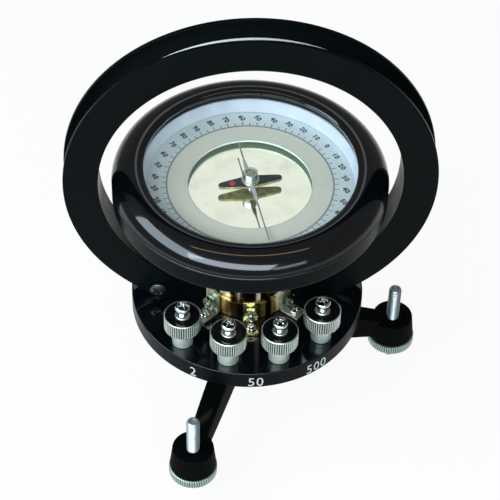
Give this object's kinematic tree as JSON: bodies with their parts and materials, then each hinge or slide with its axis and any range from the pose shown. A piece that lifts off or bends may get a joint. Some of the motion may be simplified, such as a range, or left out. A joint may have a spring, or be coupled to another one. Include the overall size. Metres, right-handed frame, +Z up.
{
  "type": "tangent galvanometer",
  "caption": "Tangent galvanometer: upright coil ring round a compass box on a turntable with screw terminals, on a levelling tripod.",
  "frame": {"origin": "centre of the tripod hub's flat underside, on the turntable's turning axis", "axes": "+Z up the turning axis, +X along the plane of the coil, -Y to the front, where the terminals are"},
  "size_m": [0.1808, 0.1605, 0.239],
  "materials": {
    "black_enamel": "cast iron under satin black enamel",
    "bright_steel": "turned bright steel",
    "nickel_plate": "nickel-plated brass, bright",
    "gloss_black": "gloss black stove enamel over cast metal",
    "insert_black": "moulded black insulating disc",
    "black_lacquer": "satin blue-black lacquer",
    "copper_wire": "insulated copper wire in close layers",
    "cotton_tape": "white cotton tape",
    "bright_brass": "turned and polished brass",
    "dark_bronze": "dark lacquered brass tube",
    "clear_glass": "clear flat glass",
    "black_rubber": "black sealing ring",
    "white_liner": "pale matt paint",
    "dial_aluminium": "satin aluminium",
    "dial_mirror": "mirror glass",
    "magnet_steel": "hardened magnet steel, blued",
    "jewel_stone": "polished agate cup"
  },
  "bodies": {
    "base": {"tripod_base": "black_enamel", "pivot_bolt": "bright_steel", "pivot_nut": "bright_steel", "pivot_washer": "bright_brass"},
    "foot_screw_front": {"levelling_screw_front": "bright_steel"},
    "foot_wheel_front": {"levelling_wheel_front": "nickel_plate"},
    "foot_screw_right": {"levelling_screw_right": "bright_steel"},
    "foot_wheel_right": {"levelling_wheel_right": "nickel_plate"},
    "foot_screw_rear": {"levelling_screw_rear": "bright_steel"},
    "foot_wheel_rear": {"levelling_wheel_rear": "nickel_plate"},
    "turntable": {"turntable_disc": "gloss_black", "coil_former": "black_lacquer", "winding_500_turns": "copper_wire", "winding_50_turns": "copper_wire", "winding_2_turns": "copper_wire", "winding_tape": "cotton_tape", "flange_screw": "bright_brass", "pillar_tube": "dark_bronze", "collar_front": "bright_brass", "collar_rear": "bright_brass", "bracket_front_left": "bright_brass", "bracket_front": "bright_brass", "bracket_front_right": "bright_brass", "bracket_rear_right": "bright_brass", "bracket_rear": "bright_brass", "bracket_rear_left": "bright_brass", "bracket_bolt_front_left": "bright_steel", "bracket_bolt_front": "bright_steel", "bracket_bolt_front_right": "bright_steel", "bracket_bolt_rear_right": "bright_steel", "bracket_bolt_rear": "bright_steel", "bracket_bolt_rear_left": "bright_steel", "pillar_head": "bright_brass", "terminal_screw_1": "nickel_plate", "terminal_screw_2": "nickel_plate", "terminal_screw_3": "nickel_plate", "terminal_screw_4": "nickel_plate", "coil_leads": "copper_wire"},
    "terminal_cap_1": {"terminal_insert_1": "insert_black"},
    "terminal_grip_1": {"terminal_knob_1": "nickel_plate"},
    "terminal_cap_2": {"terminal_insert_2": "insert_black"},
    "terminal_grip_2": {"terminal_knob_2": "nickel_plate"},
    "terminal_cap_3": {"terminal_insert_3": "insert_black"},
    "terminal_grip_3": {"terminal_knob_3": "nickel_plate"},
    "terminal_cap_4": {"terminal_insert_4": "insert_black"},
    "terminal_grip_4": {"terminal_knob_4": "nickel_plate"},
    "compass_box": {"box_body": "black_lacquer", "bezel": "gloss_black", "glass_gasket": "black_rubber", "glass": "clear_glass", "liner": "white_liner", "dial": "dial_aluminium", "mirror": "dial_mirror", "box_spindle": "bright_brass", "spindle_nut": "bright_brass", "needle_pin": "bright_steel"},
    "needle": {"magnet": "magnet_steel", "pointer": "dial_aluminium", "needle_cap": "nickel_plate", "needle_jewel": "jewel_stone"}
  },
  "joints": [
    {"name": "turntable_turn", "type": "hinge", "parent": "base", "child": "turntable", "pos_m": [0, 0, 0.0213], "axis": [0, 0, 1], "continuous": true},
    {"name": "compass_turn", "type": "hinge", "parent": "turntable", "child": "compass_box", "pos_m": [0, 0, 0.1], "axis": [0, 0, 1], "continuous": true},
    {"name": "needle_turn", "type": "hinge", "parent": "compass_box", "child": "needle", "pos_m": [0, 0, 0.1207], "axis": [0, 0, 1], "continuous": true},
    {"name": "levelling_travel_front", "type": "slide", "parent": "base", "child": "foot_screw_front", "axis": [0, 0, 1], "range_m": [-0.012, 0]},
    {"name": "levelling_spin_front", "type": "hinge", "parent": "foot_screw_front", "child": "foot_wheel_front", "pos_m": [-0.02875, -0.07412, -0.0133], "axis": [0, 0, 1], "range_deg": [-4321, 0]},
    {"name": "levelling_travel_right", "type": "slide", "parent": "base", "child": "foot_screw_right", "axis": [0, 0, 1], "range_m": [-0.012, 0]},
    {"name": "levelling_spin_right", "type": "hinge", "parent": "foot_screw_right", "child": "foot_wheel_right", "pos_m": [0.07856, 0.01216, -0.0133], "axis": [0, 0, 1], "range_deg": [-4321, 0]},
    {"name": "levelling_travel_rear", "type": "slide", "parent": "base", "child": "foot_screw_rear", "axis": [0, 0, 1], "range_m": [-0.012, 0]},
    {"name": "levelling_spin_rear", "type": "hinge", "parent": "foot_screw_rear", "child": "foot_wheel_rear", "pos_m": [-0.04981, 0.06196, -0.0133], "axis": [0, 0, 1], "range_deg": [-4321, 0]},
    {"name": "terminal_travel_1", "type": "slide", "parent": "turntable", "child": "terminal_cap_1", "axis": [0, 0, 1], "range_m": [0, 0.0035]},
    {"name": "terminal_spin_1", "type": "hinge", "parent": "terminal_cap_1", "child": "terminal_grip_1", "pos_m": [-0.03342, -0.03692, 0.0563], "axis": [0, 0, 1], "range_deg": [0, 1801]},
    {"name": "terminal_travel_2", "type": "slide", "parent": "turntable", "child": "terminal_cap_2", "axis": [0, 0, 1], "range_m": [0, 0.0035]},
    {"name": "terminal_spin_2", "type": "hinge", "parent": "terminal_cap_2", "child": "terminal_grip_2", "pos_m": [-0.01107, -0.04855, 0.0563], "axis": [0, 0, 1], "range_deg": [0, 1801]},
    {"name": "terminal_travel_3", "type": "slide", "parent": "turntable", "child": "terminal_cap_3", "axis": [0, 0, 1], "range_m": [0, 0.0035]},
    {"name": "terminal_spin_3", "type": "hinge", "parent": "terminal_cap_3", "child": "terminal_grip_3", "pos_m": [0.0141, -0.04776, 0.0563], "axis": [0, 0, 1], "range_deg": [0, 1801]},
    {"name": "terminal_travel_4", "type": "slide", "parent": "turntable", "child": "terminal_cap_4", "axis": [0, 0, 1], "range_m": [0, 0.0035]},
    {"name": "terminal_spin_4", "type": "hinge", "parent": "terminal_cap_4", "child": "terminal_grip_4", "pos_m": [0.03567, -0.03475, 0.0563], "axis": [0, 0, 1], "range_deg": [0, 1801]}
  ],
  "couplings": [
    {"joint": "levelling_spin_front", "follows": "levelling_travel_front", "rad_per_m": 6283.2},
    {"joint": "levelling_spin_right", "follows": "levelling_travel_right", "rad_per_m": 6283.2},
    {"joint": "levelling_spin_rear", "follows": "levelling_travel_rear", "rad_per_m": 6283.2},
    {"joint": "terminal_spin_1", "follows": "terminal_travel_1", "rad_per_m": 8976},
    {"joint": "terminal_spin_2", "follows": "terminal_travel_2", "rad_per_m": 8976},
    {"joint": "terminal_spin_3", "follows": "terminal_travel_3", "rad_per_m": 8976},
    {"joint": "terminal_spin_4", "follows": "terminal_travel_4", "rad_per_m": 8976}
  ]
}
